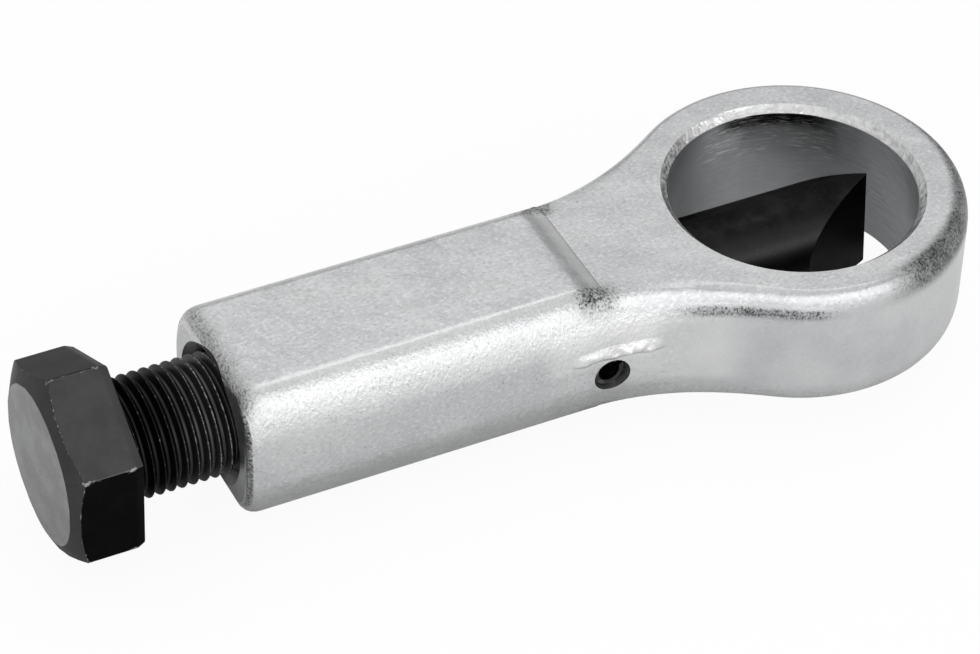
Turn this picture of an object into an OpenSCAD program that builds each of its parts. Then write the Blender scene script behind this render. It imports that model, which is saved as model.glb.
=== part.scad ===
// Nut splitter: a forged body with a nut ring, a pressure screw, a sliding chisel and a spring pin.
// Millimetres. X is the tool axis with the ring at +X, Z is the axis of the ring, the origin is the
// ring's centre. The chisel and the screw stand part-way in, as the tool is shown in use.

/* [Nut ring] */
// Diameter of the opening that takes the nut
ring_bore_d = 33.2; // [30:0.2:36]
// Outside diameter of the ring, the width of the whole tool
ring_d = 45.8; // [42:0.2:50]
// Distance of the ring's outside ahead of its opening, for a stronger front wall
ring_shift = 0.4; // [0:0.1:1]
// Height of the ring along its own axis
ring_h = 18.4; // [17:0.1:20]
// Reach of the ring's edge rounding in over the flat
ring_edge_in = 1.8; // [1:0.1:3]
// Reach of the ring's edge rounding down the side
ring_edge_drop = 3.6; // [2:0.1:5]
// Chamfer at both ends of the opening
bore_chamfer = 1; // [0.4:0.1:2]

/* [Handle] */
// Distance from the ring's centre to the rear face
handle_reach = 83.5; // [78:0.5:92]
// Width of the handle across the tool axis
handle_w = 24.4; // [22:0.2:28]
// Height of the handle
handle_h = 20.8; // [20.2:0.1:23]
// Reach of the handle's corner rounding in over the flat
handle_corner_in = 4.4; // [3:0.1:6]
// Reach of the handle's corner rounding down the side
handle_corner_drop = 8.6; // [6:0.1:9.5]
// Rounding of the rear face's upright edges
rear_edge_r = 1.6; // [0.5:0.1:2.4]
// Rounding of the rear face's upper and lower edges
rear_top_r = 2.6; // [1.5:0.1:3]
// Distance from the ring's centre to the foot of the shoulder
shoulder_x = 32.8; // [30:0.1:35]
// Distance from the ring's centre to the start of the neck at the handle's sides
neck_x = 35; // [33:0.1:38]
// Rounding of the shoulder that drops from the handle to the ring
shoulder_r = 7.6; // [4:0.1:12]

/* [Pressure screw] */
// Nominal diameter of the thread
thread_d = 16; // [15:0.5:17]
// Pitch of the thread
thread_pitch = 1.5; // [1:0.25:2]
// Plain length between the head and the first groove of the thread
thread_start = 0.9; // [0.5:0.1:2]
// Length of the threaded shank
shank_len = 50; // [46:0.5:56]
// Width of the hexagon across its flats
head_af = 24; // [22:0.5:27]
// Height of the hexagon head
head_h = 9.5; // [8:0.5:12]
// Diameter of the flat circle left by the head's chamfer
head_flat_d = 21; // [20:0.1:23.5]
// Height of the bevel around the head's underside
head_bevel_h = 1.1; // [0.5:0.1:2]
// Amount that the bevel takes off each flat
head_bevel = 0.4; // [0.2:0.05:0.8]
// Turn of the head's corners about the tool axis, from straight up
head_turn = -2.2; // [-30:0.1:30]
// Chamfer at the end of the thread
thread_chamfer = 1.2; // [0.5:0.1:2]
// Widening of the threaded bore at its mouth, on the radius
mouth_chamfer = 1.35; // [0.5:0.05:2]

/* [Chisel] */
// Diameter of the chisel
chisel_d = 13.8; // [12.5:0.1:14]
// Length of the chisel from edge to tail
chisel_len = 58.8; // [57:0.1:63]
// Position of the cutting edge beyond the ring's centre as shown
edge_reach = 11.6; // [6:0.1:12]
// Angle between the two bevels of the cutting edge
wedge_angle = 57.4; // [50:0.1:65]
// Width of the blunt land on the cutting edge
edge_land = 0.3; // [0.2:0.05:0.6]
// Turn of the cutting edge about the tool axis
edge_turn = -5.9; // [-8:0.1:8]
// Chamfer around the chisel's tail
tail_chamfer = 1; // [0.4:0.1:1.6]

/* [Guide pin] */
// Outside diameter of the spring pin
pin_d = 5; // [4:0.1:5.4]
// Wall of the spring pin
pin_wall = 1; // [0.6:0.1:1.3]
// Length of the spring pin
pin_len = 8; // [7:0.1:8.4]
// Width of the slit in the spring pin
pin_slit = 0.9; // [0.5:0.1:1.2]
// Chamfer at the pin's ends
pin_chamfer = 0.4; // [0.2:0.1:0.5]
// Distance from the ring's centre to the pin
pin_x = 32.6; // [31:0.1:34]
// Distance of the pin below the tool axis
pin_drop = 2.3; // [0:0.1:2.5]
// Depth of the pin's outer end below the side of the handle
pin_recess = 0.9; // [0.6:0.1:1.2]

/* [Fits] */
// Radial clearance of the screw in its bore, the plain stand-in for the thread's play
thread_clear = 0.05; // [0.02:0.01:0.1]
// Radial clearance of the chisel in its guide bore
guide_clear = 0.05; // [0.02:0.01:0.1]
// Clearance of the guide groove beside the pin
groove_side_clear = 0.35; // [0.3:0.05:0.5]
// Clearance of the guide groove below and beyond the pin
groove_end_clear = 0.4; // [0.3:0.05:0.8]
// Gap kept between the cutting edge and the far wall at full advance
edge_stop_gap = 0.5; // [0.3:0.1:1]

/* [Hidden] */
// Segments that mark a round as a true round
round_fn = 96;
// Steps along each rounded edge of the forging
corner_steps = 10;
// Steps along the rear rounding, the shoulder, the neck and half of the ring
rear_steps = 6;
shoulder_steps = 6;
neck_steps = 14;
ring_steps = 36;
// Overshoot of cutting bodies
over = 1;
// Threaded length beyond the screw's end at full advance
thread_runout = 1.5;
// Angle of the slit about the pin's axis
pin_slit_angle = 37;
// Angle of the hexagon's chamfer
head_chamfer_angle = 27;
// Half of the angle between the thread's flanks
thread_flank_angle = 30;
// Depth of the thread and width of its crests, as shares of the pitch
thread_depth_share = 0.6134;
thread_crest_share = 0.125;

ring_r = ring_bore_d / 2;
ring_out_r = ring_d / 2;
ring_half = ring_h / 2;
half_w = handle_w / 2;
half_h = handle_h / 2;

// Travel of the chisel from the position shown
advance = ring_r - edge_stop_gap - edge_reach;
retreat = ring_r + edge_reach;

tail_x = edge_reach - chisel_len;
head_x = tail_x - shank_len;
thread_end_x = tail_x + advance + thread_runout;

// Thread of the screw
thread_depth = thread_depth_share * thread_pitch;
thread_crest = thread_crest_share * thread_pitch;
thread_flank = thread_depth * tan(thread_flank_angle);
thread_turns = floor((shank_len - thread_start - thread_chamfer) / thread_pitch);

chisel_r = chisel_d / 2;
groove_w = pin_d + 2 * groove_side_clear;
pin_outer_y = half_w - pin_recess;
pin_inner_y = pin_outer_y - pin_len;
groove_floor_y = pin_inner_y - groove_end_clear;
groove_front = edge_reach - retreat + pin_x - pin_d / 2 - groove_end_clear;
groove_back = edge_reach + advance + pin_x + pin_d / 2 + groove_end_clear;

// Hollow of the neck: a circle that touches the handle's side at the neck's start and the ring
neck_reach = neck_x + ring_shift;
neck_r = (pow(neck_reach, 2) + pow(half_w, 2) - pow(ring_out_r, 2)) / (2 * (ring_out_r - half_w));
neck_turn = asin(neck_reach / (ring_out_r + neck_r));
foot_turn = neck_turn_at(-shoulder_x);

shoulder_turn = acos(1 - (half_h - ring_half) / shoulder_r);
shoulder_start_x = -shoulder_x - shoulder_r * sin(shoulder_turn);

// Edge profile from the side's middle to the flat above, as distances in from the side and heights
function edge_profile(hh, reach, drop, flat) = [
    for (i = [0:corner_steps])
        let (turn = 90 * i / corner_steps)
        [reach * (1 - cos(turn)), min(flat, hh - drop + drop * sin(turn))]
];

// Amount that a rounding takes off at a depth behind the face
function round_inset(depth, r) = depth < r ? r - sqrt(pow(r, 2) - pow(r - depth, 2)) : 0;

// Turn of the neck's side at a station along the tool axis
function neck_turn_at(x) = asin(max(0, x + neck_x) / neck_r);

function blend(a, b, t) = [for (i = [0:len(a) - 1]) a[i] * (1 - t) + b[i] * t];
function ease(t) = t * t * (3 - 2 * t);

// Closed loop of points around the forging: a point of the plan's outline, its normal and a profile
function loop(x, y, nx, ny, profile) =
    let (
        quarter = [for (p = profile) [x - nx * p[0], y - ny * p[0], p[1]]],
        last = len(quarter) - 1
    )
    concat(
        quarter,
        [for (i = [last:-1:0]) [quarter[i][0], -quarter[i][1], quarter[i][2]]],
        [for (p = quarter) [p[0], -p[1], -p[2]]],
        [for (i = [last:-1:0]) [quarter[i][0], quarter[i][1], -quarter[i][2]]]
    );

// Loop at a station of the handle's or the neck's side, given the turn of that side
function neck_loop(x, turn, profile) =
    loop(x, half_w + neck_r * (1 - cos(turn)), -sin(turn), cos(turn), profile);

handle_profile = edge_profile(half_h, handle_corner_in, handle_corner_drop, ring_half);
ring_profile = edge_profile(ring_half, ring_edge_in, ring_edge_drop, ring_half);

// Loops of the forging from the rear face over handle, shoulder, neck and ring
rear_loops = [
    for (k = [0:rear_steps])
        let (
            depth = rear_top_r * (1 - cos(90 * k / rear_steps)),
            side_inset = round_inset(depth, rear_edge_r),
            top_inset = round_inset(depth, rear_top_r)
        )
        loop(
            -handle_reach + depth,
            half_w - side_inset,
            0,
            1,
            edge_profile(
                half_h - top_inset,
                handle_corner_in - side_inset,
                handle_corner_drop - top_inset,
                half_h
            )
        )
];
shoulder_loops = [
    for (k = [0:shoulder_steps])
        let (
            turn = shoulder_turn * k / shoulder_steps,
            x = shoulder_start_x + shoulder_r * sin(turn)
        )
        neck_loop(
            x,
            neck_turn_at(x),
            edge_profile(
                half_h,
                handle_corner_in,
                handle_corner_drop,
                half_h - shoulder_r * (1 - cos(turn))
            )
        )
];
neck_loops = [
    for (k = [1:neck_steps])
        let (
            part = k / neck_steps,
            turn = foot_turn + (neck_turn - foot_turn) * part
        )
        neck_loop(
            neck_r * sin(turn) - neck_x,
            turn,
            blend(handle_profile, ring_profile, ease(part))
        )
];
ring_loops = [
    for (k = [1:ring_steps])
        let (turn = (90 + neck_turn) * (1 - k / (ring_steps + 1 / 2)))
        loop(
            ring_shift + ring_out_r * cos(turn),
            ring_out_r * sin(turn),
            cos(turn),
            sin(turn),
            ring_profile
        )
];

// Skin over loops with equal numbers of points; the front loop is closed level by level
module skin(loops) {
    n = len(loops[0]);
    m = len(loops);
    tip = (m - 1) * n;
    points = [for (s = loops) each s];
    sides = [
        for (k = [0:m - 2])
            for (i = [0:n - 1])
                let (
                    j = (i + 1) % n,
                    a = k * n + i,
                    b = k * n + j
                )
                each [[a, b, b + n], [a, b + n, a + n]]
    ];
    rear = [[for (i = [n - 1:-1:0]) i]];
    half = n / 2;
    rungs = concat(
        [for (i = [half / 2 - 1:-1:0]) [i, half - 1 - i]],
        [for (i = [0:half / 2 - 1]) [n - 1 - i, half + i]]
    );
    front = [
        for (k = [0:len(rungs) - 2])
            let (
                a = rungs[k],
                b = rungs[k + 1]
            )
            each [
                [tip + a[0], tip + a[1], tip + b[1]],
                [tip + a[0], tip + b[1], tip + b[0]]
            ]
    ];
    polyhedron(points, concat(sides, rear, front), convexity = 6);
}

// Cylinder or cone along the tool axis between two stations
module along_x(x0, x1, r0, r1) {
    translate([x0, 0, 0])
        rotate([0, 90, 0])
            cylinder(h = x1 - x0, r1 = r0, r2 = r1, $fn = round_fn);
}

// Cylinder or cone across the handle at the pin, between two distances from the tool axis
module along_pin(y0, y1, r0, r1) {
    translate([-pin_x, -y0, -pin_drop])
        rotate([-90, 0, 0])
            cylinder(h = y0 - y1, r1 = r0, r2 = r1, $fn = round_fn);
}

module body() {
    thread_r = thread_d / 2 + thread_clear;
    guide_r = chisel_r + guide_clear;
    color([0.78, 0.79, 0.80])
        difference() {
            skin(concat(rear_loops, shoulder_loops, neck_loops, ring_loops));
            cylinder(h = ring_h + 2 * over, d = ring_bore_d, center = true, $fn = round_fn);
            for (side = [0, 180])
                rotate([side, 0, 0])
                    translate([0, 0, ring_half - bore_chamfer])
                        cylinder(
                            h = bore_chamfer + over,
                            r1 = ring_r,
                            r2 = ring_r + bore_chamfer + over,
                            $fn = round_fn
                        );
            along_x(-handle_reach - over, thread_end_x, thread_r, thread_r);
            along_x(-handle_reach - over, 0, guide_r, guide_r);
            along_x(
                -handle_reach - over,
                -handle_reach + mouth_chamfer,
                thread_r + mouth_chamfer + over,
                thread_r
            );
            along_pin(half_w + over, 0, pin_d / 2, pin_d / 2);
        }
}

// Hexagon head with its chamfer in front and its bevel behind, standing on the head's underside
module hex_head() {
    corner_r = head_af / 2 / cos(30);
    bevel_r = corner_r - head_bevel / cos(30);
    flat_r = head_flat_d / 2;
    chamfer_h = (corner_r + over - flat_r) * tan(head_chamfer_angle);
    intersection() {
        union() {
            cylinder(h = head_bevel_h, r1 = bevel_r, r2 = corner_r, $fn = 6);
            translate([0, 0, head_bevel_h])
                cylinder(h = head_h - head_bevel_h, r = corner_r, $fn = 6);
        }
        rotate_extrude($fn = round_fn)
            polygon([
                [0, 0],
                [corner_r + over, 0],
                [corner_r + over, head_h - chamfer_h],
                [flat_r, head_h],
                [0, head_h]
            ]);
    }
}

// Profile of the threaded shank: a row of grooves stands in for the helix
function groove_points(station, shank_r) = [
    [shank_r, station],
    [shank_r - thread_depth, station + thread_flank],
    [shank_r - thread_depth, station + thread_pitch - thread_crest - thread_flank],
    [shank_r, station + thread_pitch - thread_crest]
];

module threaded_shank() {
    shank_r = thread_d / 2;
    rotate_extrude($fn = round_fn)
        polygon(concat(
            [[0, -head_h / 2], [shank_r, -head_h / 2]],
            [
                for (i = [0:thread_turns - 1])
                    each groove_points(thread_start + i * thread_pitch, shank_r)
            ],
            [
                [shank_r, shank_len - thread_chamfer],
                [shank_r - thread_chamfer, shank_len],
                [0, shank_len]
            ]
        ));
}

module pressure_screw() {
    color([0.16, 0.16, 0.17])
        translate([head_x, 0, 0])
            union() {
                rotate([0, 90, 0])
                    threaded_shank();
                rotate([0, -90, 0])
                    rotate([0, 0, head_turn])
                        hex_head();
            }
}

// Two bevels that meet in the upright cutting edge
module wedge_blank() {
    half_land = edge_land / 2;
    slope = tan(wedge_angle / 2);
    bevel = (chisel_d - half_land) / slope;
    rotate([edge_turn, 0, 0])
        linear_extrude(height = 2 * chisel_d, center = true)
            polygon([
                [edge_reach, -half_land],
                [edge_reach, half_land],
                [edge_reach - bevel, chisel_d],
                [tail_x - over, chisel_d],
                [tail_x - over, -chisel_d],
                [edge_reach - bevel, -chisel_d]
            ]);
}

// Groove with round ends that takes the inner end of the pin
module guide_groove() {
    first = edge_reach - groove_back + groove_w / 2;
    last = edge_reach - groove_front - groove_w / 2;
    depth = chisel_d - groove_floor_y;
    translate([0, -groove_floor_y, -pin_drop])
        rotate([90, 0, 0]) {
            linear_extrude(height = depth)
                translate([first, -groove_w / 2])
                    square([last - first, groove_w]);
            for (x = [first, last])
                translate([x, 0, 0])
                    cylinder(h = depth, d = groove_w, $fn = round_fn);
        }
}

module chisel() {
    color([0.12, 0.12, 0.13])
        difference() {
            intersection() {
                translate([tail_x, 0, 0])
                    rotate([0, 90, 0])
                        rotate_extrude($fn = round_fn)
                            polygon([
                                [0, 0],
                                [chisel_r - tail_chamfer, 0],
                                [chisel_r, tail_chamfer],
                                [chisel_r, chisel_len + over],
                                [0, chisel_len + over]
                            ]);
                wedge_blank();
            }
            guide_groove();
        }
}

module guide_pin() {
    pin_r = pin_d / 2;
    end_r = pin_r - pin_chamfer;
    color([0.25, 0.25, 0.26])
        difference() {
            translate([-pin_x, -pin_outer_y, -pin_drop])
                rotate([-90, 0, 0])
                    rotate_extrude($fn = round_fn)
                        polygon([
                            [pin_r - pin_wall, 0],
                            [end_r, 0],
                            [pin_r, pin_chamfer],
                            [pin_r, pin_len - pin_chamfer],
                            [end_r, pin_len],
                            [pin_r - pin_wall, pin_len]
                        ]);
            translate([-pin_x, -pin_outer_y - over, -pin_drop])
                rotate([0, -pin_slit_angle, 0])
                    translate([0, 0, -pin_slit / 2])
                        cube([pin_d, pin_len + 2 * over, pin_slit]);
        }
}

body();
pressure_screw();
chisel();
guide_pin();
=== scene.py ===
"""Nut splitter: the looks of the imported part, with a threaded screw, a flash line and finishes."""

import math

import bmesh
import bpy
from mathutils import Matrix, Vector, noise
from mathutils.bvhtree import BVHTree


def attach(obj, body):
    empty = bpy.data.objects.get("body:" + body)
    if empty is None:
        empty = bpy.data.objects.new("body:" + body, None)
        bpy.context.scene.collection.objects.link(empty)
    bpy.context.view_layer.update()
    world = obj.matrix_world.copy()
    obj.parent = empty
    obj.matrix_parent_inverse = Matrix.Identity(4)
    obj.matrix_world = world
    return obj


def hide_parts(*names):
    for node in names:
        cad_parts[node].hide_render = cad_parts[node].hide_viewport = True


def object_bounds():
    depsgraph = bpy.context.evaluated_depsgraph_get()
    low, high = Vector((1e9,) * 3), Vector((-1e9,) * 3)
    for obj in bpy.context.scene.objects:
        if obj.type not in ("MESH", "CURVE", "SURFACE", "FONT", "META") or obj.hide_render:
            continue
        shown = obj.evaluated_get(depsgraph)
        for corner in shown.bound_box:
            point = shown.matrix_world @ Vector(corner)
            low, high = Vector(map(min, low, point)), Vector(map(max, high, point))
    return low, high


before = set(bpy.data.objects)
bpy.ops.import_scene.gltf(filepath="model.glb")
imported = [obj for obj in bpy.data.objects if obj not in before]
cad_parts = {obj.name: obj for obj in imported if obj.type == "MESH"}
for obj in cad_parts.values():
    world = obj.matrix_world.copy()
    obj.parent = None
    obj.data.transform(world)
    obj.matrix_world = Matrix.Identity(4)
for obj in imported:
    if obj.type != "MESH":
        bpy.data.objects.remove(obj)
cad_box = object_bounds()
MM = 0.001

# Sizes shared with the solids, in millimetres
RING_R = 16.6
RING_CHAMFER = 1.0
REAR_X = -83.5
MOUTH_R = 9.4
MOUTH_DEPTH = 1.35
THREAD_R = 8.0
PITCH = 1.5
SHANK_LEN = 50.0
THREAD_CHAMFER = 1.2
HEAD_X = -97.2
HEAD_H = 9.5
HEAD_AF = 24.0
HEAD_FLAT_R = 10.5
HEAD_CHAMFER_ANGLE = 27.0
HEAD_BEVEL_H = 1.1
HEAD_BEVEL = 0.4
HEAD_TURN = -2.2

# Camera of the photograph: degrees, millimetres, pixels for focal length and image width
AZIMUTH = -27.226
ELEVATION = 40.989
ROLL = 1.922
DISTANCE = 540.423
FOCAL_PX = 4168.762
TARGET = Vector((-43.874, 0.713, -0.323)) * MM
IMAGE_W = 980
SENSOR_W = 36.0

# Nearest and farthest distance that the camera shows, in metres
CLIP_M = (0.01, 20.0)

# Sockets of the mix node: factor, first value, second value and result
COLOUR_SOCKETS = (0, 6, 7, 2)
NUMBER_SOCKETS = (0, 2, 3, 0)


def make_camera():
    a = math.radians(AZIMUTH)
    e = math.radians(ELEVATION)
    r = math.radians(ROLL)
    back = Vector((math.sin(a) * math.cos(e), -math.cos(a) * math.cos(e), math.sin(e)))
    level = Vector((math.cos(a), math.sin(a), 0))
    rise = back.cross(level)
    right = level * math.cos(r) + rise * math.sin(r)
    up = rise * math.cos(r) - level * math.sin(r)
    data = bpy.data.cameras.new("photo_camera")
    data.sensor_fit = "HORIZONTAL"
    data.sensor_width = SENSOR_W
    data.lens = FOCAL_PX * SENSOR_W / IMAGE_W
    data.clip_start = CLIP_M[0]
    data.clip_end = CLIP_M[1]
    camera = bpy.data.objects.new("photo_camera", data)
    bpy.context.scene.collection.objects.link(camera)
    axes = Matrix((right, up, back)).transposed().to_4x4()
    camera.matrix_world = Matrix.Translation(TARGET + back * DISTANCE * MM) @ axes
    bpy.context.scene.camera = camera


class Graph:
    """Small helper that builds one material's node tree, with places in millimetres."""

    def __init__(self, name):
        self.material = bpy.data.materials.new(name)
        self.material.use_nodes = True
        self.tree = self.material.node_tree
        self.tree.nodes.clear()
        self.output = self.tree.nodes.new("ShaderNodeOutputMaterial")
        self.coords = self.tree.nodes.new("ShaderNodeTexCoord")

    def node(self, kind, **settings):
        made = self.tree.nodes.new(kind)
        for key, value in settings.items():
            setattr(made, key, value)
        return made

    def feed(self, socket, value):
        if isinstance(value, bpy.types.NodeSocket):
            self.tree.links.new(value, socket)
        else:
            socket.default_value = value

    def math(self, operation, *values):
        made = self.node("ShaderNodeMath", operation=operation)
        for socket, value in zip(made.inputs, values):
            self.feed(socket, value)
        return made.outputs[0]

    def split(self, output):
        made = self.node("ShaderNodeSeparateXYZ")
        self.feed(made.inputs[0], self.coords.outputs[output])
        return list(made.outputs)

    def place(self):
        return [self.math("MULTIPLY", axis, 1 / MM) for axis in self.split("Object")]

    def facing(self):
        return self.split("Normal")

    def reach(self, a, b):
        """Distance from an axis, by the two places across it."""
        squares = [self.math("MULTIPLY", side, side) for side in (a, b)]
        return self.math("SQRT", self.math("ADD", *squares))

    def below(self, value, limit):
        return self.math("LESS_THAN", value, limit)

    def both(self, *masks):
        made = masks[0]
        for mask in masks[1:]:
            made = self.math("MULTIPLY", made, mask)
        return made

    def either(self, *masks):
        made = masks[0]
        for mask in masks[1:]:
            made = self.math("MAXIMUM", made, mask)
        return made

    def outside(self, mask):
        return self.math("SUBTRACT", 1.0, mask)

    def step(self, value, low, high):
        made = self.node("ShaderNodeMapRange", interpolation_type="SMOOTHSTEP")
        self.feed(made.inputs["Value"], value)
        self.feed(made.inputs["From Min"], low)
        self.feed(made.inputs["From Max"], high)
        return made.outputs["Result"]

    def window(self, value, low, high, soft):
        """One between low and high, fading to nothing over soft on either side."""
        return self.both(
            self.step(value, low - soft, low),
            self.outside(self.step(value, high, high + soft)),
        )

    def noise(self, size_mm, detail=2.0, rough=0.5, stretch=(1, 1, 1), offset=0.0):
        mapping = self.node("ShaderNodeMapping")
        self.feed(mapping.inputs["Vector"], self.coords.outputs["Object"])
        mapping.inputs["Scale"].default_value = stretch
        mapping.inputs["Location"].default_value = (offset, offset, offset)
        made = self.node("ShaderNodeTexNoise")
        self.feed(made.inputs["Vector"], mapping.outputs["Vector"])
        made.inputs["Scale"].default_value = 1 / (size_mm * MM)
        made.inputs["Detail"].default_value = detail
        made.inputs["Roughness"].default_value = rough
        return made.outputs["Fac"]

    def mixed(self, kind, sockets, *values):
        made = self.node("ShaderNodeMix", data_type=kind)
        for socket, value in zip(sockets, values):
            self.feed(made.inputs[socket], value)
        return made.outputs[sockets[-1]]

    def mix(self, factor, a, b):
        """Colour between a and b."""
        return self.mixed("RGBA", COLOUR_SOCKETS, factor, a, b)

    def lay(self, base, layers, masks):
        """Lays each named layer over the base where its mask is, in the order given."""
        for name, (share, tone) in layers.items():
            base = self.mix(self.both(masks[name], share), base, tone)
        return base

    def blend(self, factor, a, b):
        """Number between a and b."""
        return self.mixed("FLOAT", NUMBER_SOCKETS, factor, a, b)

    def attribute(self, name):
        return self.node("ShaderNodeAttribute", attribute_name=name).outputs["Fac"]

    def bump(self, height, depth_mm, normal=None):
        made = self.node("ShaderNodeBump")
        made.inputs["Distance"].default_value = depth_mm * MM
        self.feed(made.inputs["Height"], height)
        if normal is not None:
            self.feed(made.inputs["Normal"], normal)
        return made.outputs["Normal"]

    def metal(self, colour, roughness, normal, edge_tint=1.0):
        made = self.node("ShaderNodeBsdfPrincipled")
        made.inputs["Metallic"].default_value = 1.0
        made.inputs["Specular Tint"].default_value = grey(edge_tint)
        self.feed(made.inputs["Base Color"], colour)
        self.feed(made.inputs["Roughness"], roughness)
        self.feed(made.inputs["Normal"], normal)
        self.feed(self.output.inputs["Surface"], made.outputs["BSDF"])
        return self.material


def grey(value, cool=0.0):
    return (value * (1 - cool), value, value * (1 + cool), 1)


# Places on the forging in millimetres: ends of a fade, or low end, high end and the fade beyond both
WALL_SKIN = 0.06
BORE_SKIN = 4 * WALL_SKIN
FLAT_HALF_W = 7.6
SLOPE_HALF_W = FLAT_HALF_W + 1.0
SIDE_Y = (9.0, 9.8)
COARSE_END_X = (-32.0, -24.0)
REAR_TOP_X = (REAR_X + 0.8, REAR_X + 3.8)
REAR_SIDE_X = (REAR_X + 0.15, REAR_X + 0.6, 0.3)
SHOULDER_MARK_X = (-34.8, -33.4, 4.6)
SHOULDER_MARK_Y = (8.8, 10.0, 2.2)
NECK_X = (-40.0, -28.0, 3.0)
NECK_Z = (0.8, 6.0, 1.5)
SIDE_LIGHT_X = (-29.0, -19.0, 5.0)
SIDE_LIGHT_Z = (-4.0, 5.0, 2.0)
RING_SIDE_X = (-26.0, -20.0)
RING_MARK_X = (-19.0, -10.0, 9.0)
RING_MARK_Z = (5.9, 6.5, 1.0)
SKIRT_X = (-33.0, -11.0, 4.0)
SKIRT_Z = (4.9, 6.6, 0.7)
RING_END_X = (-2.0, 9.0)
RING_END_R = (20.5, 22.2)
RING_END_Z = (4.8, 7.2)
RING_END_LEAN = 0.04
RIM_LEFT_X = (-11.0, -4.0)
WALL_DARK_Z = (5.6, 7.2)
WALL_DARK_Y = (9.0, 13.0)
WALL_DARK_X = (0.5, 10.0, 4.0)
WALL_FAR_Y = (11.0, 16.0)
WALL_LEFT_X = (-10.0, 1.5)
SCRATCH_Z = (2.5, 6.8, 1.5)
SCRATCH_X = (-7.0, -1.0)
SLOPE_TOP_X = (-35.6, -33.9, 0.7)
SLOPE_FOOT_X = (-35.2, -33.6)
SLOPE_FOOT_Z = (9.22, 9.4)
END_LOW_Z = (-9.0, 0.0)
CREST_X = (-80.0, -37.0, 2.0)

# Which way the skin faces at those places, as a part of its normal
RIM_TILT = 0.9
FLANK_TILT = 0.3
ROUNDED_TILT = (0.12, 0.96, 0.03)
UPRIGHT_TILT = (0.15, 0.3)
LEVEL_TILT = (0.2, 0.6)
MARK_TILT = (0.25, 0.5)
CREST_TILT = (0.95, 0.98, 0.012)
CREST_WAVE = 0.03
REAR_FACING = (-0.97, -0.86)
UP_FACING = (0.0, 0.3)
DOWN_FACING = (-0.3, 0.0)

# Strength of the coarse skin on handle and ring, of the rear mark, and how ragged the marks are
COARSE_SHARE = (1.0, 0.2)
REAR_TOP_SHARE = 0.7
RAGGED_SHARE = (0.45, 1.35)
MID_NOISE = 0.5


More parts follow.
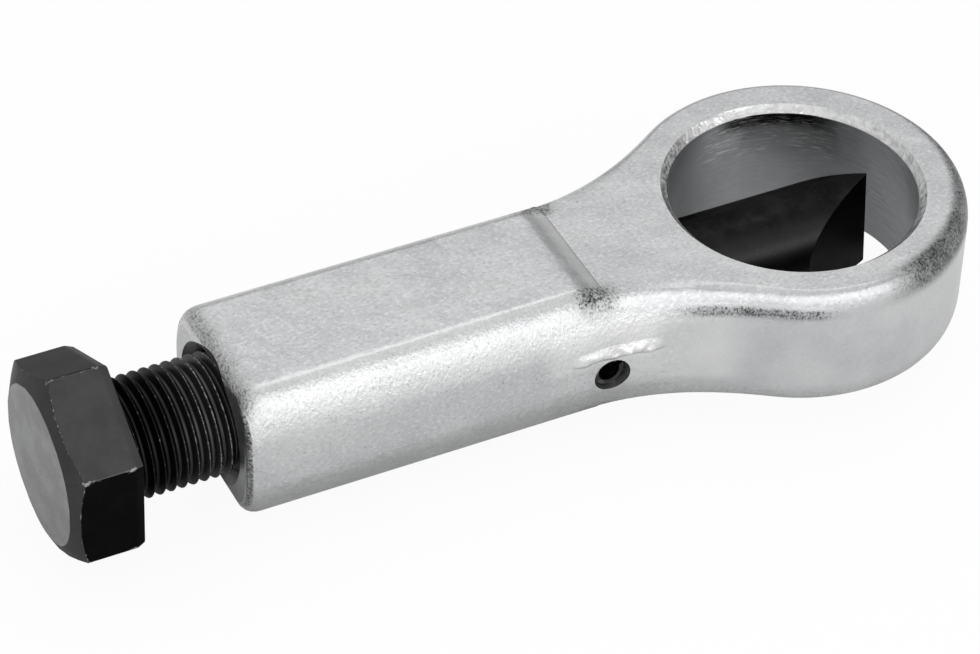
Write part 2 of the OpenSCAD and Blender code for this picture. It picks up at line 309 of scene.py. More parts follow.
class ForgedPlaces:
    """Masks over the forging: machined places, dark marks, coarse roundings, and places with painted
    light or shade.
    """

    def __init__(self, g):
        x, y, z = g.place()
        nx, ny, nz = g.facing()
        across = g.math("ABSOLUTE", y)
        tilt = g.math("ABSOLUTE", nz)
        ring_r = g.reach(x, y)
        axis_r = g.reach(y, z)
        on_side = g.step(across, *SIDE_Y)
        near_half = g.below(y, 0.0)
        behind_ring = g.below(x, -RING_R)

        # Machined places
        self.wall = g.below(ring_r, RING_R + WALL_SKIN)
        in_rim = g.below(ring_r, RING_R + RING_CHAMFER + WALL_SKIN)
        self.rim = g.both(in_rim, g.outside(self.wall), g.below(tilt, RIM_TILT))
        mouth = g.both(g.below(x, REAR_X + MOUTH_DEPTH), g.below(axis_r, MOUTH_R + WALL_SKIN))
        bore = g.both(g.below(x, -RING_R + RING_CHAMFER), g.below(axis_r, THREAD_R + BORE_SKIN))
        self.bored = g.either(mouth, bore)
        self.plated = g.outside(g.either(self.wall, self.rim, self.bored))
        self.rim_left = g.both(self.rim, g.outside(g.step(x, *RIM_LEFT_X)))
        far_wall = g.step(y, *WALL_DARK_Y)
        self.wall_dark = g.both(g.step(z, *WALL_DARK_Z), far_wall, g.window(x, *WALL_DARK_X))
        # Painted light on the far part of the ring's wall, painted shade on its left part
        self.wall_far_light = g.both(self.wall, g.step(y, *WALL_FAR_Y))
        self.wall_left_shade = g.both(self.wall, g.outside(g.step(x, *WALL_LEFT_X)))
        self.scratched = g.both(g.window(z, *SCRATCH_Z), far_wall, g.step(x, *SCRATCH_X))

        # Dark marks
        to_rear = g.step(nx, *REAR_FACING)
        level = g.step(tilt, *LEVEL_TILT)
        rear_top = g.both(g.outside(g.step(x, *REAR_TOP_X)), to_rear, level, REAR_TOP_SHARE)
        rear_side = g.both(g.window(x, *REAR_SIDE_X), g.outside(level), to_rear)
        shoulder_mark = g.both(
            g.window(x, *SHOULDER_MARK_X),
            g.window(across, *SHOULDER_MARK_Y),
            g.step(tilt, *MARK_TILT),
        )
        ring_mark = g.both(g.window(x, *RING_MARK_X), g.window(z, *RING_MARK_Z), near_half)
        leaning_r = g.math("ADD", ring_r, g.math("MULTIPLY", y, -RING_END_LEAN))
        ring_end = g.both(
            g.step(x, *RING_END_X),
            g.step(leaning_r, *RING_END_R),
            g.step(z, *RING_END_Z),
        )
        # Painted shade on the rounding at the ring's right end
        self.ring_end_shade = g.both(ring_end, self.plated)
        clumps = g.noise(size_mm=2.4, detail=2, rough=0.6, offset=3.7)
        marks = g.either(rear_top, rear_side, shoulder_mark, ring_mark, ring_end)
        self.marked = g.both(marks, g.blend(clumps, *RAGGED_SHARE), self.plated)

        # Coarse roundings, strong on the handle and faint on the ring, with lumps at the marks
        flank = g.below(g.math("ABSOLUTE", ny), FLANK_TILT)
        slope = g.both(g.below(across, FLAT_HALF_W), behind_ring, flank)
        rear = g.below(x, REAR_TOP_X[1])
        rounded = g.both(g.window(tilt, *ROUNDED_TILT), g.either(g.outside(slope), rear))
        strength = g.blend(g.step(x, *COARSE_END_X), *COARSE_SHARE)
        neck = g.both(g.window(x, *NECK_X), g.window(z, *NECK_Z), on_side)
        skirt = g.both(g.window(x, *SKIRT_X), g.window(z, *SKIRT_Z), on_side)
        lumpy = g.either(g.both(rounded, strength), neck, skirt, shoulder_mark, ring_mark, ring_end)
        self.coarse = g.both(lumpy, self.plated)
        # Painted light on the upper coarse roundings, painted shade on the lower ones
        self.upper_rounding_light = g.both(self.coarse, g.step(nz, *UP_FACING))
        self.lower_rounding_shade = g.both(self.coarse, g.outside(g.step(nz, *DOWN_FACING)))
        upright = g.outside(g.step(tilt, *UPRIGHT_TILT))
        self.calm = g.both(g.step(x, *RING_SIDE_X), upright, self.plated)

        # Painted shade on the top of the shoulder's slope and the lower half of the rear face; painted
        # light on the slope's foot, the neck and the side next to it; a painted highlight on the crest
        # of the handle
        in_slope = g.below(across, SLOPE_HALF_W)
        self.slope_top_shade = g.both(g.window(x, *SLOPE_TOP_X), in_slope)
        foot = g.both(g.step(x, *SLOPE_FOOT_X), g.step(z, *SLOPE_FOOT_Z))
        self.slope_foot_light = g.both(foot, behind_ring, in_slope)
        rear_face = g.below(x, REAR_X + WALL_SKIN)
        self.end_low_shade = g.both(rear_face, g.outside(g.step(z, *END_LOW_Z)), self.plated)
        self.neck = g.both(neck, self.plated)
        next_to_neck = g.both(g.window(x, *SIDE_LIGHT_X), g.window(z, *SIDE_LIGHT_Z))
        self.side_painted_light = g.both(next_to_neck, on_side, self.plated)
        wave = g.math("MULTIPLY", g.math("SUBTRACT", clumps, MID_NOISE), CREST_WAVE)
        # Painted highlight: a thin wavy line where the handle's top flat meets its near rounding
        self.crest_highlight = g.both(
            g.window(g.math("ADD", tilt, wave), *CREST_TILT),
            g.window(x, *CREST_X),
            near_half,
            g.below(0.0, z),
            self.plated,
        )


# Levels between which a noise turns from nothing to full, for each use
CLOUD_STEP = (0.3, 0.7)
LIGHT_GRAIN_STEP = (0.5, 0.72)
DARK_GRAIN_STEP = (0.28, 0.46)
PIT_STEP = (0.72, 0.78)
SCALE_STEP = (0.6, 0.7)
SPECK_STEP = (0.62, 0.94)
SPECK_EDGE_STEP = (0.0, 0.25)
SPECK_LIFT = 0.3
TURNED_STEP = (0.35, 0.7)
PATCH_STEP = (0.4, 0.65)
STREAK_STEP = (0.25, 0.5)
SCRATCH_STEP = (0.53, 0.64)
DENT_STEP = (0.5, 0.62)
RIM_SHADE_STEP = (0.42, 0.6)

# Zinc: tones of its clouds, then each layer's share and tone in the order in which they are laid
ZINC_TONES = (grey(0.50, 0.014), grey(0.57, 0.008))
ZINC_LAYERS = {
    "light_grain": (1.0, grey(0.74, 0.005)),
    "dark_grain": (0.85, grey(0.36, 0.012)),
    "pitted": (1.0, grey(0.2)),
    # Painted light on the upper roundings, painted shade on the lower ones
    "upper_rounding_light": (0.3, grey(0.85)),
    "lower_rounding_shade": (0.35, grey(0.25)),
    # Painted highlight along the crest of the handle
    "crest_highlight": (0.4, grey(0.9)),
    "scaly": (0.4, grey(0.22)),
    # Painted shade on the slope's top and the lower rear face, painted light on the slope's foot, the
    # neck and the side next to it
    "slope_top_shade": (0.45, grey(0.26, 0.01)),
    "slope_foot_light": (0.62, grey(0.9)),
    "end_low_shade": (0.8, grey(0.16)),
    "neck": (0.45, grey(0.8)),
    "side_painted_light": (0.35, grey(0.8)),
    "marked": (0.3, grey(0.24, 0.02)),
    # Painted shade at the ring's right end
    "ring_end_shade": (0.58, grey(0.1, 0.02)),
    "specked": (1.0, grey(0.03, 0.02)),
}
WALL_TONES = (grey(0.42, 0.02), grey(0.56, 0.02))
WALL_LAYERS = {
    "patchy": (0.6, grey(0.46, 0.02)),
    # Painted light on the far part of the wall, painted shade on its left part
    "wall_far_light": (0.45, grey(0.9, 0.02)),
    "wall_left_shade": (0.76, grey(0.1, 0.02)),
    "streaked": (1.0, grey(0.03)),
    "scratches": (1.0, grey(0.95)),
}
RIM_LAYERS = {
    "rim": (0.7, grey(0.82)),
    "dented": (0.35, grey(0.42)),
    # Painted shade, mottled, on the left part of the chamfer
    "rim_left_shade": (0.68, grey(0.12)),
    "bored": (1.0, grey(0.035)),
}

# Share of the grain and relief on the common skin and on the ring's calm side, and roughness
GRAIN_SHARE = (0.55, 0.15)
PLAIN_RELIEF = (0.22, 0.06)
ZINC_ROUGH = (0.29, 0.36)
COARSE_ROUGH = 0.32
MARKED_ROUGH = 0.3


def zinc_forging():
    """Satin zinc on a forged skin: clean flats, coarse rounded edges, a turned ring and dark bores,
    with light and shade painted in places.
    """
    g = Graph("zinc_forging")
    at = ForgedPlaces(g)
    clouds = g.noise(size_mm=8, detail=3, rough=0.55)
    grain = g.noise(size_mm=0.42, detail=2, rough=0.6, stretch=(0.7, 1, 1))
    scales = g.noise(size_mm=0.4, detail=3, rough=0.65, stretch=(1, 0.65, 0.65), offset=2.3)
    specks = g.noise(size_mm=0.32, detail=4, rough=0.75, stretch=(1, 0.8, 0.8), offset=8.9)
    pits = g.noise(size_mm=0.5, detail=1, rough=0.5, offset=5.1)
    turned = g.noise(size_mm=0.26, detail=3, rough=0.7, stretch=(0.1, 0.1, 1.0))
    patches = g.noise(size_mm=7, detail=2, rough=0.5, offset=1.7)
    dents = g.noise(size_mm=1.6, detail=2, rough=0.6, offset=6.1)
    clouded = g.step(clouds, *CLOUD_STEP)
    grainy = g.blend(at.calm, *GRAIN_SHARE)
    dense = g.math("ADD", specks, g.math("MULTIPLY", at.marked, SPECK_LIFT))
    masks = dict(
        vars(at),
        light_grain=g.both(g.step(grain, *LIGHT_GRAIN_STEP), grainy),
        dark_grain=g.both(g.outside(g.step(grain, *DARK_GRAIN_STEP)), grainy),
        pitted=g.both(g.step(pits, *PIT_STEP), grainy),
        scaly=g.both(g.step(scales, *SCALE_STEP), at.coarse),
        specked=g.both(g.step(dense, *SPECK_STEP), g.step(at.marked, *SPECK_EDGE_STEP)),
        patchy=g.step(patches, *PATCH_STEP),
        streaked=g.both(at.wall_dark, g.step(turned, *STREAK_STEP)),
        scratches=g.both(at.scratched, g.step(turned, *SCRATCH_STEP)),
        dented=g.both(at.rim, g.step(dents, *DENT_STEP)),
        # Painted shade on the left part of the chamfer, mottled by the scales noise
        rim_left_shade=g.both(at.rim_left, g.step(scales, *RIM_SHADE_STEP)),
    )

    # Colour: the skin, then the ring's turned wall, then its chamfer and the bores
    base = g.lay(g.mix(clouded, *ZINC_TONES), ZINC_LAYERS, masks)
    wall = g.lay(g.mix(g.step(turned, *TURNED_STEP), *WALL_TONES), WALL_LAYERS, masks)
    base = g.lay(g.mix(at.wall, base, wall), RIM_LAYERS, masks)

    roughness = g.blend(clouded, *ZINC_ROUGH)
    roughness = g.blend(at.coarse, roughness, COARSE_ROUGH)
    roughness = g.blend(at.marked, roughness, MARKED_ROUGH)

    # Relief: a slight wave, the coarse skin, the specks, the dented chamfer and the turning marks
    normal = g.bump(g.noise(size_mm=5, detail=2, rough=0.5, offset=7.7), depth_mm=0.2)
    skin = g.math("SUBTRACT", scales, MID_NOISE)
    uneven = g.blend(at.coarse, g.blend(at.calm, *PLAIN_RELIEF), 1.0)
    normal = g.bump(g.both(skin, uneven, at.plated), depth_mm=0.15, normal=normal)
    normal = g.bump(g.both(specks, at.marked), depth_mm=0.2, normal=normal)
    normal = g.bump(g.both(dents, at.rim), depth_mm=0.3, normal=normal)
    normal = g.bump(g.both(turned, at.wall), depth_mm=0.015, normal=normal)
    return g.metal(base, roughness, normal)


# Share of the glancing shine that a black oxide skin keeps
OXIDE_EDGE = 0.62

# Chisel: tones of its clouds, its layers, where they begin, and roughness
CHISEL_TONES = (grey(0.006), grey(0.016))
CHISEL_LAYERS = {
    # Painted highlight on the near flank of the round body
    "flank": (0.6, grey(0.045)),
    "streaked": (0.35, grey(0.035)),
    "grainy": (0.3, grey(0.12)),
}
NEAR_HIGHLIGHT_FACING = (-0.75, -0.25)
LENGTHWAYS = 0.2
CHISEL_STREAK_STEP = (0.52, 0.7)
CHISEL_GRAIN_STEP = (0.68, 0.76)
CHISEL_ROUGH = (0.28, 0.38)


def chisel_black():
    """Satin black oxide with faint clouds, lengthways streaks and a painted highlight on the near
    flank.
    """
    g = Graph("black_chisel")
    clouds = g.noise(size_mm=4, detail=3, rough=0.6)
    grain = g.noise(size_mm=0.35, detail=2, rough=0.6)
    streaks = g.noise(size_mm=2.5, detail=3, rough=0.6, stretch=(0.3, 1, 1), offset=4.2)
    nx, ny, _ = g.facing()
    round_side = g.below(g.math("ABSOLUTE", nx), LENGTHWAYS)
    masks = {
        # Painted highlight where the round body faces the near side
        "flank": g.both(g.outside(g.step(ny, *NEAR_HIGHLIGHT_FACING)), round_side),
        "streaked": g.step(streaks, *CHISEL_STREAK_STEP),
        "grainy": g.step(grain, *CHISEL_GRAIN_STEP),
    }
    base = g.lay(g.mix(g.step(clouds, *CLOUD_STEP), *CHISEL_TONES), CHISEL_LAYERS, masks)
    normal = g.bump(grain, depth_mm=0.006)
    return g.metal(base, g.blend(clouds, *CHISEL_ROUGH), normal, OXIDE_EDGE)


# Screw: darkest and lightest tone, its layers, where they begin, their shares by tone, and roughness
SCREW_TONES = (grey(0.002), grey(0.075))
SCREW_LAYERS = {
    "clouded": (1.0, grey(0.03)),
    "grainy": (1.0, grey(0.09)),
    "worn": (0.85, grey(0.34)),
}
SCREW_CLOUD_STEP = (0.35, 0.75)
SCREW_GRAIN_STEP = (0.62, 0.75)
CLOUD_BY_TONE = (0.05, 0.35)
GRAIN_BY_TONE = (0.03, 0.35)
CHIP_SHARE = 1.5
WORN_STEP = (0.88, 1.12)
SCREW_ROUGH = (0.34, 0.44)


def screw_black():
    """Black oxide of the screw, where each flat of the head has its own tone of painted light or
    shade.
    """
    g = Graph("black_screw")
    clouds = g.noise(size_mm=4, detail=3, rough=0.6)
    grain = g.noise(size_mm=0.3, detail=2, rough=0.6)
    chips = g.noise(size_mm=0.55, detail=3, rough=0.7, offset=1.3)
    tone = g.attribute("tone")
    ragged = g.math("MULTIPLY", g.math("SUBTRACT", chips, MID_NOISE), CHIP_SHARE)
    masks = {
        "clouded": g.both(g.step(clouds, *SCREW_CLOUD_STEP), g.blend(tone, *CLOUD_BY_TONE)),
        "grainy": g.both(g.step(grain, *SCREW_GRAIN_STEP), g.blend(tone, *GRAIN_BY_TONE)),
        "worn": g.step(g.math("ADD", g.attribute("wear"), ragged), *WORN_STEP),
    }
    base = g.lay(g.mix(tone, *SCREW_TONES), SCREW_LAYERS, masks)
    normal = g.bump(grain, depth_mm=0.012)
    return g.metal(base, g.blend(clouds, *SCREW_ROUGH), normal, OXIDE_EDGE)


# Front face of the head and the spring pin: tones of their clouds, pits of the face, and roughness
BARE_CLOUD_STEP = (0.35, 0.7)
FACE_TONES = (grey(0.22), grey(0.30, 0.01))
FACE_LAYERS = {"pitted": (0.6, grey(0.04))}
FACE_PIT_STEP = (0.64, 0.72)
FACE_ROUGH = (0.42, 0.52)
SPRING_TONES = (grey(0.04), grey(0.11))
SPRING_ROUGH = (0.3, 0.42)


def screw_face():
    """Grey, faintly pitted front face of the screw's head."""
    g = Graph("screw_face")
    clouds = g.noise(size_mm=3.5, detail=3, rough=0.6)
    grain = g.noise(size_mm=0.35, detail=2, rough=0.6)
    masks = {"pitted": g.step(grain, *FACE_PIT_STEP)}
    base = g.lay(g.mix(g.step(clouds, *BARE_CLOUD_STEP), *FACE_TONES), FACE_LAYERS, masks)
    normal = g.bump(grain, depth_mm=0.012)
    return g.metal(base, g.blend(clouds, *FACE_ROUGH), normal)


def spring_steel():
    """Dark, faintly clouded steel of the spring pin."""
    g = Graph("spring_steel")
    clouds = g.noise(size_mm=1.2, detail=3, rough=0.6)
    base = g.mix(g.step(clouds, *BARE_CLOUD_STEP), *SPRING_TONES)
    normal = g.bump(g.noise(size_mm=0.2, detail=2, rough=0.5), depth_mm=0.006)
    return g.metal(base, g.blend(clouds, *SPRING_ROUGH), normal)


# Outline of the hexagon with slightly rounded corners, closer points near the corners
HEX_SIDES = 6
HEX_CORNER_R = 0.35
CORNER_STEPS = 4
CORNER_HALF_ANGLE = 30.0
FLAT_STOPS = (0.02, 0.06, 0.15, 0.35, 0.65, 0.85, 0.94, 0.98)
CORNER_WEAR_MM = 0.8
# Painted light and shade: each flat of the head has its own tone, lighter or darker as light falls on
# it
FLAT_LIGHT_AND_SHADE_TONES = (0.2, 0.35, 0.3, 0.25, 0.02, 1.0)
CHAMFER_TONE = 0.75
REAR_TONE = 0.2
EDGE_MM = 0.08
REAR_INNER_R = THREAD_R * 0.8
FACE_INNER_R = HEAD_FLAT_R * 0.6
REAR_EDGE_SHARE = 0.01

# Rows of the flats: distance from the rear bevel and from the front edge, in millimetres
FROM_BEVEL = (0.4, 1.5)
FROM_FRONT = (2.6, 0.8, 0.3)

# Wear of each row of the head: the least, and the share of the wear at the corners
HEAD_WEAR = {
    "unworn": (0.0, 0.0),
    "rear_edge": (0.2, 0.0),
    "bevel_inner": (0.55, 0.7),
    "bevel_outer": (0.5, 0.8),
    "flat_edge": (0.6, 1.0),
    "flat_near_edge": (0.1, 1.0),
    "flat_rear": (0.0, 0.85),
    "flat_middle": (0.0, 0.7),
    "flat_front": (0.1, 0.9),
    "front_near_edge": (0.5, 1.0),
    "front_edge": (0.92, 1.0),
    "chamfer_outer": (0.7, 1.0),
    "chamfer_inner": (0.1, 0.0),
}


def hex_outline():
    """Points around the hexagon, corner first: place, closeness to a corner, number of the flat."""
    middle_r = (HEAD_AF / 2 - HEX_CORNER_R) / math.cos(math.pi / HEX_SIDES)
    points = []

    def corner_point(k, degrees):
        turn = 2 * math.pi * k / HEX_SIDES
        a = turn + math.radians(degrees)
        middle = Vector((math.cos(turn), math.sin(turn))) * middle_r
        return middle + Vector((math.cos(a), math.sin(a))) * HEX_CORNER_R

    for k in range(HEX_SIDES):
        for i in range(CORNER_STEPS + 1):
            degrees = CORNER_HALF_ANGLE * (2 * i / CORNER_STEPS - 1)
            flat = k if degrees >= 0 else (k - 1) % HEX_SIDES
            points.append((corner_point(k, degrees), 1.0, flat))
        start = corner_point(k, CORNER_HALF_ANGLE)
        end = corner_point(k + 1, -CORNER_HALF_ANGLE)
        for t in FLAT_STOPS:
            near = min(t, 1 - t) * (end - start).length
            points.append((start.lerp(end, t), max(0.0, 1 - near / CORNER_WEAR_MM), k))
    return points


def screw_point(across, station):
    """Point of the head: the first value is up, the second is Y, station is along the tool axis."""
    c = math.cos(math.radians(HEAD_TURN))
    s = math.sin(math.radians(HEAD_TURN))
    up = across[0] * c - across[1] * s
    out = across[0] * s + across[1] * c
    return Vector((station, out, up)) * MM


def make_head(bm, wear, tone):
    """Hexagon head from its rear plane to the front face; material 0 black, 1 front face."""
    outline = hex_outline()
    slope = math.tan(math.radians(HEAD_CHAMFER_ANGLE))
    front_x = HEAD_X - HEAD_H
    inset = 1 - HEAD_BEVEL / (HEAD_AF / 2)
    rows = []

    def row(kind, place, wear_name):
        least, corner_share = HEAD_WEAR[wear_name]
        made = []
        for point, corner, _ in outline:
            v = bm.verts.new(place(point))
            v[wear] = max(least, corner * corner_share)
            made.append(v)
        rows.append((kind, made))

    def depth(radius):
        return max(0.0, radius - HEAD_FLAT_R) * slope

    def ring_at(radius, station):
        return lambda p: screw_point(p.normalized() * radius, station)

    def hex_at(scale, station):
        return lambda p: screw_point(p * scale, station)

    def from_front(back_off):
        return lambda p: screw_point(p, front_x + depth(p.length) + back_off)

    def chamfer_edge(p):
        radius = p.length - EDGE_MM
        return screw_point(p.normalized() * radius, front_x + depth(radius))

    bevel_x = HEAD_X - HEAD_BEVEL_H
    face_r = HEAD_FLAT_R + EDGE_MM
    row("rear", ring_at(REAR_INNER_R, HEAD_X), "unworn")
    row("rear", hex_at(inset - REAR_EDGE_SHARE, HEAD_X), "rear_edge")
    row("bevel", hex_at(inset, HEAD_X - EDGE_MM), "bevel_inner")
    row("bevel", hex_at(1 - EDGE_MM / HEAD_AF, bevel_x + EDGE_MM), "bevel_outer")
    row("flat", hex_at(1.0, bevel_x - EDGE_MM), "flat_edge")
    for away, wear_name in zip(FROM_BEVEL, ("flat_near_edge", "flat_rear")):
        row("flat", hex_at(1.0, bevel_x - away), wear_name)
    for away, wear_name in zip(FROM_FRONT, ("flat_middle", "flat_front", "front_near_edge")):
        row("flat", from_front(away), wear_name)
    row("chamfer", from_front(EDGE_MM), "front_edge")
    row("chamfer", chamfer_edge, "chamfer_outer")
    row("face", ring_at(face_r, front_x + depth(face_r)), "chamfer_inner")
    for radius in (HEAD_FLAT_R - EDGE_MM, FACE_INNER_R):
        row("face", ring_at(radius, front_x), "unworn")

    tones = {"rear": REAR_TONE, "chamfer": CHAMFER_TONE, "face": 1.0}
    n = len(outline)
    for (kind, lower), (_, upper) in zip(rows, rows[1:]):
        for i in range(n):
            j = (i + 1) % n
            face = bm.faces.new((lower[i], lower[j], upper[j], upper[i]))
            face.material_index = 1 if kind == "face" else 0
            face[tone] = tones.get(kind, FLAT_LIGHT_AND_SHADE_TONES[outline[i][2]])
    cap = bm.faces.new(rows[-1][1])
    cap.material_index = 1
    cap[tone] = 1.0


# Thread profile over one pitch: share of the pitch and radius
DEPTH_PER_PITCH = 0.6134
ROOT_R = THREAD_R - DEPTH_PER_PITCH * PITCH
CREST_ROUND = 0.05
THREAD_PROFILE = (
    (0.000, THREAD_R - CREST_ROUND),
    (0.045, THREAD_R),
    (0.085, THREAD_R),
    (0.130, THREAD_R - CREST_ROUND),
    (0.440, ROOT_R + CREST_ROUND),
    (0.500, ROOT_R),
    (0.640, ROOT_R),
    (0.700, ROOT_R + CREST_ROUND),
)
TURN_STEPS = 72
START_IN_HEAD = 1.0
SCREW_SHARP_ANGLE = 24.0
THREAD_TONES = (0.22, 1.0)
RUBBED_X = (-92.0, -86.0)
CREST_WEAR = (0.78, 0.98)
SHOULDER_WEAR = 0.95


def rubbed(station):
    """Share by which the thread is rubbed, from none near the head to all at the mouth."""
    return min(1.0, max(0.0, (station - RUBBED_X[0]) / (RUBBED_X[1] - RUBBED_X[0])))


def between(ends, share):
    return ends[0] + share * (ends[1] - ends[0])


def crest_share(radius, station):
    """Share of the wear that a point of the profile takes: its shoulders only where it is rubbed."""
    if radius == THREAD_R:
        return 1.0
    if radius == THREAD_R - CREST_ROUND:
        return SHOULDER_WEAR * rubbed(station)
    return 0.0


def make_thread(bm, wear, tone):
    """Right-hand thread along the tool axis, from inside the head to the chamfered end."""
    start = HEAD_X - START_IN_HEAD
    end = HEAD_X + SHANK_LEN
    turns = math.ceil((end - start) / PITCH) + 1
    strips = []
    for k in range(turns * TURN_STEPS + 1):
        turn = 2 * math.pi * k / TURN_STEPS
        strip = []
        for share, radius in THREAD_PROFILE:
            station = start + PITCH * (k / TURN_STEPS + share - 1)
            limit = THREAD_R - max(0.0, station - (end - THREAD_CHAMFER))
            r = min(radius, limit)
            place = Vector((min(station, end), r * math.cos(turn), r * math.sin(turn)))
            v = bm.verts.new(place * MM)
            v[wear] = between(CREST_WEAR, rubbed(station)) * crest_share(radius, station)
            strip.append(v)
        strips.append(strip)
    width = len(THREAD_PROFILE)
    faces = []
    for k in range(len(strips) - 1):
        here = strips[k]
        following = strips[k + 1]
        for i in range(width - 1):
            faces.append((here[i], following[i], following[i + 1], here[i + 1]))
        ahead = k + TURN_STEPS
        if ahead + 1 < len(strips):
            faces.append((here[-1], following[-1], strips[ahead + 1][0], strips[ahead][0]))
    for corners in faces:
        bm.faces.new(corners)[tone] = between(THREAD_TONES, rubbed(corners[0].co.x / MM))


def make_screw():
    """Head and thread as closed meshes in one piece, in place of the plain solid."""
    mesh = bpy.data.meshes.new("pressure_screw_detail")
    bm = bmesh.new()
    wear = bm.verts.layers.float.new("wear")
    tone = bm.faces.layers.float.new("tone")
    make_head(bm, wear, tone)
    make_thread(bm, wear, tone)
    bmesh.ops.holes_fill(bm, edges=[e for e in bm.edges if e.is_boundary], sides=0)
    bmesh.ops.recalc_face_normals(bm, faces=bm.faces)
    bm.to_mesh(mesh)
    bm.free()
    screw = bpy.data.objects.new("pressure_screw_detail", mesh)
    bpy.context.scene.collection.objects.link(screw)
    mesh.materials.append(screw_black())
    mesh.materials.append(screw_face())
    mesh.shade_smooth()
    mesh.set_sharp_from_angle(angle=math.radians(SCREW_SHARP_ANGLE))
    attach(screw, "drive")
    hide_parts("pressure_screw")


def dress(node, material):
    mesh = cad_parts[node].data
    mesh.materials.clear()
    mesh.materials.append(material)


# Shading of the forging: points merged within this distance, edges sharper than this angle kept
MERGE_MM = 0.0005
SHARP_ANGLE = 27.0


def smooth_skin(node):
    """Shades the facets of a forged node as one smooth skin, with its machined edges kept sharp."""
    group = bpy.data.node_groups.new("smooth_skin", "GeometryNodeTree")
    group.interface.new_socket("Geometry", in_out="INPUT", socket_type="NodeSocketGeometry")
    group.interface.new_socket("Geometry", in_out="OUTPUT", socket_type="NodeSocketGeometry")
    source = group.nodes.new("NodeGroupInput")
    result = group.nodes.new("NodeGroupOutput")
    merge = group.nodes.new("GeometryNodeMergeByDistance")
    merge.inputs["Distance"].default_value = MERGE_MM * MM
    bare = group.nodes.new("GeometryNodeRemoveAttribute")
    bare.inputs["Name"].default_value = "custom_normal"
    faces = group.nodes.new("GeometryNodeSetShadeSmooth")
    angle = group.nodes.new("GeometryNodeInputMeshEdgeAngle")
    sharp = group.nodes.new("FunctionNodeCompare")
    sharp.operation = "GREATER_THAN"
    sharp.inputs["B"].default_value = math.radians(SHARP_ANGLE)
    edges = group.nodes.new("GeometryNodeSetShadeSmooth")
    edges.domain = "EDGE"
    edges.inputs["Shade Smooth"].default_value = False
    chain = (source, merge, bare, faces, edges, result)
    for left, right in zip(chain, chain[1:]):
        group.links.new(left.outputs[0], right.inputs[0])
    group.links.new(angle.outputs["Unsigned Angle"], sharp.inputs["A"])
    group.links.new(sharp.outputs["Result"], edges.inputs["Selection"])
    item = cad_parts[node]
    skin = item.modifiers.new("smooth_skin", "NODES")
    skin.node_group = group
    weights = item.modifiers.new("flat_weight", "WEIGHTED_NORMAL")
    weights.keep_sharp = True


# Flash line of the forging: a low, uneven ledge above the pin, in millimetres and shares
FLASH_X = (-39.3, -24.6)
FLASH_Z = (0.3, 3.1)
FLASH_CREST = 0.3
FLASH_RISE = 0.38
FLASH_LUMP = 0.55
FLASH_WANDER = 0.3
FLASH_SINK = 0.04
FLASH_ROOT = 0.4
FLASH_FADE = 0.22
FLASH_STEPS = 96
FLASH_ROWS = 18
FLASH_SHARP_ANGLE = 60.0
BEND_SCALE = 0.45
LUMP_SCALE = 0.9


def ease(share):
    """Smooth step from nought to one."""
    t = min(1.0, max(0.0, share))
    return t * t * (3 - 2 * t)


def make_flash():
    """Closed ledge whose foot follows the side of the body and lies just under its surface."""
    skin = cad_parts["body"].data
    corners = [v.co for v in skin.vertices]
    faces = [tuple(p.vertices) for p in skin.polygons]
    tree = BVHTree.FromPolygons(corners, faces)
    bm = bmesh.new()

    def side_y(x, z):
        start = Vector((x * MM, cad_box[0][1] - MM, z * MM))
        return tree.ray_cast(start, Vector((0, 1, 0)))[0].y / MM

    def rows_at(t):
        """Loop of outer and inner points across the ledge at one place along it."""
        x = between(FLASH_X, t)
        fade = ease(min(t, 1 - t) / FLASH_FADE)
        wander = FLASH_WANDER * noise.noise(Vector((x * BEND_SCALE, 0, 0)))
        outer = []
        inner = []
        for j in range(FLASH_ROWS + 1):
            u = j / FLASH_ROWS
            z = between(FLASH_Z, u) + wander * (1 - u)
            crown = fade * min(ease(u / FLASH_CREST), ease((1 - u) / (1 - FLASH_CREST)))
            lump = 1 + FLASH_LUMP * noise.noise(Vector((x, 0, z)) * LUMP_SCALE)
            lift = FLASH_RISE * lump * crown - FLASH_SINK * (1 - crown)
            y = side_y(x, z)
            outer.append(bm.verts.new(Vector((x, y - lift, z)) * MM))
            inner.append(bm.verts.new(Vector((x, y + FLASH_ROOT, z)) * MM))
        return outer + inner[::-1]

    loops = [rows_at(i / FLASH_STEPS) for i in range(FLASH_STEPS + 1)]
    count = len(loops[0])
    for here, following in zip(loops, loops[1:]):
        for i in range(count):
            j = (i + 1) % count
            bm.faces.new((here[i], here[j], following[j], following[i]))
    bm.faces.new(loops[0])
    bm.faces.new(loops[-1][::-1])
    bmesh.ops.recalc_face_normals(bm, faces=bm.faces)
    mesh = bpy.data.meshes.new("forging_flash")
    bm.to_mesh(mesh)
    bm.free()
    mesh.shade_smooth()
    mesh.set_sharp_from_angle(angle=math.radians(FLASH_SHARP_ANGLE))
    mesh.materials.append(skin.materials[0])
    ridge = bpy.data.objects.new("forging_flash", mesh)
    bpy.context.scene.collection.objects.link(ridge)
    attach(ridge, "frame")


# Pale floor under the lowest corner of the hexagon: millimetres, but metres for its radius
FLOOR_Z = -13.9
FLOOR_R = 1.5
FLOOR_SIDES = 96
FLOOR_TONE = 0.93
CAMERA_SHARE = 0.93
MIRROR_SHARE = (0.02, 0.9)
MIRROR_REACH = (20.0, 80.0)


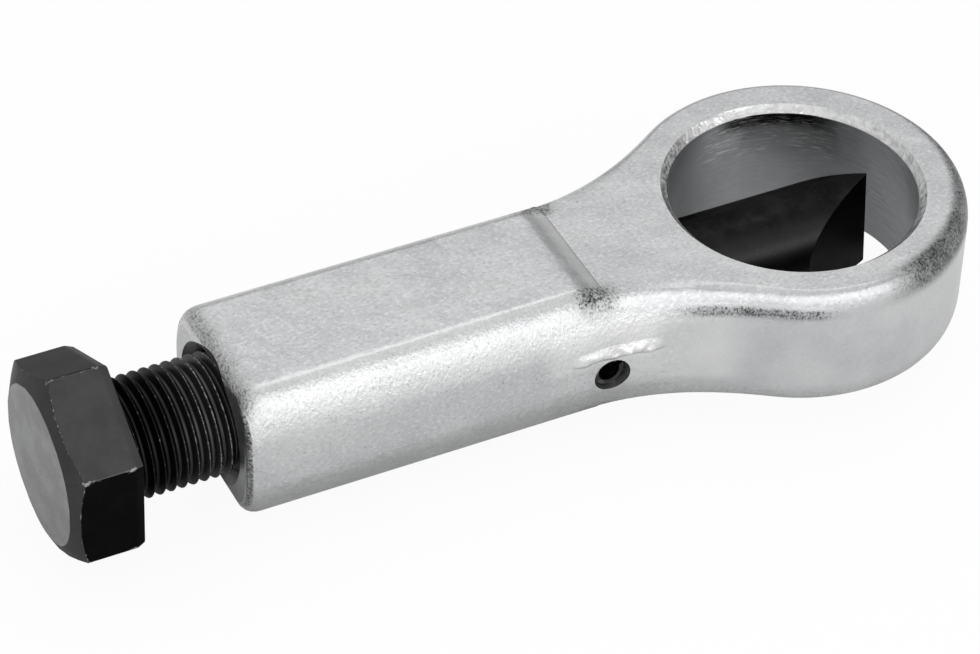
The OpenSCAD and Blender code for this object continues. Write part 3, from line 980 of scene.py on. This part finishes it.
def make_floor():
    """Floor that is nearly white to the camera, and in reflections darker near the tool."""
    mesh = bpy.data.meshes.new("floor")
    bm = bmesh.new()
    bmesh.ops.create_circle(bm, cap_ends=True, segments=FLOOR_SIDES, radius=FLOOR_R)
    bm.to_mesh(mesh)
    bm.free()
    floor = bpy.data.objects.new("floor", mesh)
    floor.location = (0, 0, FLOOR_Z * MM)
    bpy.context.scene.collection.objects.link(floor)
    g = Graph("floor")
    shade = g.node("ShaderNodeBsdfDiffuse")
    shade.inputs["Color"].default_value = grey(FLOOR_TONE)
    glow = g.node("ShaderNodeEmission")
    glow.inputs["Color"].default_value = grey(1.0)
    paths = g.node("ShaderNodeLightPath")
    mirrored = g.either(paths.outputs["Is Glossy Ray"], paths.outputs["Is Transmission Ray"])
    away = g.step(g.math("ABSOLUTE", g.place()[1]), *MIRROR_REACH)
    share = g.either(
        g.math("MULTIPLY", paths.outputs["Is Camera Ray"], CAMERA_SHARE),
        g.math("MULTIPLY", mirrored, g.blend(away, *MIRROR_SHARE)),
    )
    surface = g.node("ShaderNodeMixShader")
    g.feed(surface.inputs[0], share)
    g.feed(surface.inputs[1], shade.outputs[0])
    g.feed(surface.inputs[2], glow.outputs[0])
    g.feed(g.output.inputs["Surface"], surface.outputs[0])
    mesh.materials.append(g.material)


# Soft lights: direction from the tool, distance and sides in metres, brightness
LIGHTS = {
    "key": ((0.10, -0.935, 0.342), 0.8, (1.8, 0.6), 1.3),
    "top_strip": ((0.355, 0.38, 0.853), 0.9, (0.9, 0.2), 0.7),
    "back_right": ((0.355, 0.652, 0.67), 1.0, (0.8, 0.6), 0.2),
}
# Brightness of the room by height, from the horizon to overhead
SKY = ((0.0, 0.60), (0.10, 0.48), (0.28, 0.45), (0.6, 0.78), (0.8, 0.90), (1.0, 1.0))


def softbox(name, direction, distance, sides, radiance):
    """Rectangular light that faces the tool, with a given brightness."""
    data = bpy.data.lights.new(name, "AREA")
    data.shape = "RECTANGLE"
    data.size = sides[0]
    data.size_y = sides[1]
    data.energy = radiance * math.pi * sides[0] * sides[1]
    light = bpy.data.objects.new(name, data)
    bpy.context.scene.collection.objects.link(light)
    d = Vector(direction).normalized()
    light.location = TARGET + d * distance
    light.rotation_mode = "QUATERNION"
    light.rotation_quaternion = d.to_track_quat("Z", "Y")


def make_world():
    """Soft room: brighter overhead, and white where the camera sees it."""
    world = bpy.data.worlds.new("studio")
    bpy.context.scene.world = world
    world.use_nodes = True
    tree = world.node_tree
    tree.nodes.clear()
    out = tree.nodes.new("ShaderNodeOutputWorld")
    room = tree.nodes.new("ShaderNodeBackground")
    white = tree.nodes.new("ShaderNodeBackground")
    white.inputs["Color"].default_value = grey(1.0)
    coords = tree.nodes.new("ShaderNodeTexCoord")
    split = tree.nodes.new("ShaderNodeSeparateXYZ")
    ramp = tree.nodes.new("ShaderNodeValToRGB")
    paths = tree.nodes.new("ShaderNodeLightPath")
    pick = tree.nodes.new("ShaderNodeMixShader")
    tree.links.new(coords.outputs["Generated"], split.inputs[0])
    tree.links.new(split.outputs[2], ramp.inputs[0])
    stops = ramp.color_ramp.elements
    while len(stops) < len(SKY):
        stops.new(1.0)
    for stop, (height, level) in zip(stops, SKY):
        stop.position = height
        stop.color = grey(level)
    tree.links.new(ramp.outputs[0], room.inputs["Color"])
    tree.links.new(paths.outputs["Is Camera Ray"], pick.inputs[0])
    tree.links.new(room.outputs[0], pick.inputs[1])
    tree.links.new(white.outputs[0], pick.inputs[2])
    tree.links.new(pick.outputs[0], out.inputs["Surface"])


make_camera()
make_world()
for light_name, light in LIGHTS.items():
    softbox(light_name, *light)
make_floor()

dress("body", zinc_forging())
smooth_skin("body")
make_flash()
dress("chisel", chisel_black())
dress("guide_pin", spring_steel())
make_screw()

bpy.context.scene.view_settings.view_transform = "Standard"
